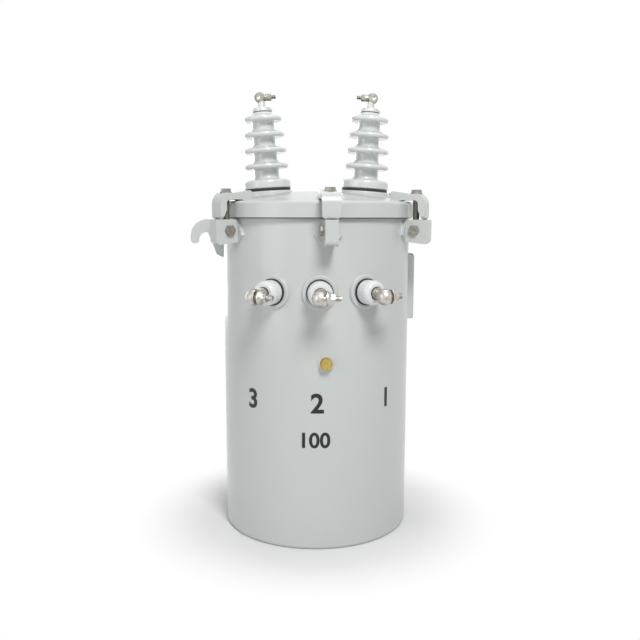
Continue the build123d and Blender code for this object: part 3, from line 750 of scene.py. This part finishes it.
def white_rays(tree):
    """1 for the rays that see plain white: the camera's, and those through mirrors and glass."""
    path = add_node(tree, "ShaderNodeLightPath", -300, 350).outputs
    either = calc(tree, "MAXIMUM", -100, 350, path["Is Camera Ray"], path["Is Glossy Ray"])
    return calc(tree, "MAXIMUM", 80, 350, either, path["Is Transmission Ray"])


def blend(tree, factor, first, second):
    """Mix two shaders."""
    node = add_node(tree, "ShaderNodeMixShader", 550, 0)
    for sink, source in zip(node.inputs, (factor, first, second)):
        feed(tree, sink, source)
    return node.outputs[0]


def floor_material():
    """Pale floor: takes the shadow near the object and is plain white further out."""
    material = bpy.data.materials.new("studio_floor")
    tree = emptied(material)
    place = add_node(tree, "ShaderNodeTexCoord", -600, 0).outputs["Object"]
    reach = add_node(tree, "ShaderNodeVectorMath", -400, 0, operation="LENGTH")
    feed(tree, reach.inputs[0], place)
    fade = add_node(tree, "ShaderNodeMapRange", -200, 0, interpolation_type="SMOOTHSTEP")
    preset(tree, fade, {"Value": reach.outputs["Value"], "From Min": FADE_START, "From Max": FADE_END})
    matt = preset(tree, add_node(tree, "ShaderNodeBsdfDiffuse", 100, -150), {"Color": FLOOR_GREY})
    white = preset(tree, add_node(tree, "ShaderNodeEmission", 100, 100), {"Color": WHITE})
    plain = calc(tree, "MULTIPLY", 320, 250, white_rays(tree), fade.outputs["Result"])
    out = add_node(tree, "ShaderNodeOutputMaterial", 800, 0)
    feed(tree, out.inputs["Surface"], blend(tree, plain, matt.outputs[0], white.outputs[0]))
    return material


def room_light(strength):
    """World: even room light, plain white where the camera sees it."""
    world = bpy.data.worlds.new("studio_room")
    bpy.context.scene.world = world
    tree = emptied(world)
    room = add_node(tree, "ShaderNodeBackground", 100, -100)
    preset(tree, room, {"Color": WHITE, "Strength": strength})
    white = add_node(tree, "ShaderNodeBackground", 100, 100)
    preset(tree, white, {"Color": WHITE, "Strength": 1.0})
    out = add_node(tree, "ShaderNodeOutputWorld", 800, 0)
    feed(tree, out.inputs["Surface"], blend(tree, white_rays(tree), room.outputs[0], white.outputs[0]))


def soft_box(name, place, aim, width, height, power):
    bpy.ops.object.light_add(type="AREA", location=place)
    lamp = bpy.context.object
    lamp.name = name
    lamp.data.shape = "RECTANGLE"
    lamp.data.size = width
    lamp.data.size_y = height
    lamp.data.energy = power
    lamp.rotation_euler = (Vector(aim) - Vector(place)).to_track_quat("-Z", "Y").to_euler()


class OBJECT_OT_transformer_studio(bpy.types.Operator):
    """Build the floor, lights and camera"""
    bl_idname = "object.transformer_studio"
    bl_label = "Build the studio"

    def execute(self, context):
        settings = context.scene.transformer_studio
        bpy.ops.object.select_all(action="DESELECT")
        bpy.ops.mesh.primitive_circle_add(vertices=96, radius=FLOOR_R, fill_type="NGON", location=(0, 0, 0))
        floor = context.object
        floor.name = "studio_floor"
        floor.data.materials.append(floor_material())
        room_light(settings.ambient)
        for name, lamp in LAMPS.items():
            soft_box(f"{name}_light", *lamp, getattr(settings, name))
        camera = bpy.data.cameras.new("studio_camera")
        camera.sensor_width = 36.0
        camera.lens = settings.lens
        camera.clip_end = 60.0
        holder = bpy.data.objects.new("studio_camera", camera)
        context.scene.collection.objects.link(holder)
        turn = Matrix.Rotation(settings.azimuth, 4, "Z")
        aim = Matrix.Rotation(-settings.aside, 4, "Z") @ Matrix.Rotation(math.pi / 2 - settings.pitch, 4, "X")
        place = Matrix.Translation((0, -settings.distance, settings.height))
        holder.matrix_world = turn @ place @ aim @ Matrix.Rotation(settings.roll, 4, "Z")
        context.scene.camera = holder
        context.scene.view_settings.view_transform = "Standard"
        return {"FINISHED"}


class VIEW3D_PT_transformer(bpy.types.Panel):
    """Buttons that build the transformer's looks"""
    bl_idname = "VIEW3D_PT_transformer"
    bl_label = "Pole mounted transformer"
    bl_space_type = "VIEW_3D"
    bl_region_type = "UI"
    bl_category = "Transformer"

    def draw(self, context):
        column = self.layout.column()
        for operator in OPERATORS:
            column.operator(operator.bl_idname)
        for name in SETTINGS:
            group = getattr(context.scene, name)
            for setting in group.__annotations__:
                column.prop(group, setting)


SETTINGS = {"transformer_finish": FinishSettings, "transformer_details": DetailSettings,
            "transformer_studio": StudioSettings}
OPERATORS = (OBJECT_OT_transformer_paint, OBJECT_OT_transformer_insulators, OBJECT_OT_transformer_metals,
             OBJECT_OT_transformer_welds, OBJECT_OT_transformer_plate_edges, OBJECT_OT_transformer_threads,
             OBJECT_OT_transformer_numbers, OBJECT_OT_transformer_studio)


def register():
    for name, group in SETTINGS.items():
        bpy.utils.register_class(group)
        setattr(bpy.types.Scene, name, PointerProperty(type=group))
    for operator in OPERATORS:
        bpy.utils.register_class(operator)
    bpy.utils.register_class(VIEW3D_PT_transformer)


def unregister():
    bpy.utils.unregister_class(VIEW3D_PT_transformer)
    for operator in reversed(OPERATORS):
        bpy.utils.unregister_class(operator)
    for name, group in SETTINGS.items():
        delattr(bpy.types.Scene, name)
        bpy.utils.unregister_class(group)


def main():
    register()
    bpy.ops.object.transformer_paint()
    bpy.ops.object.transformer_insulators()
    bpy.ops.object.transformer_metals()
    bpy.ops.object.transformer_welds()
    bpy.ops.object.transformer_plate_edges()
    bpy.ops.object.transformer_threads()
    bpy.ops.object.transformer_numbers()
    bpy.ops.object.transformer_studio()


if __name__ == "__main__":
    main()
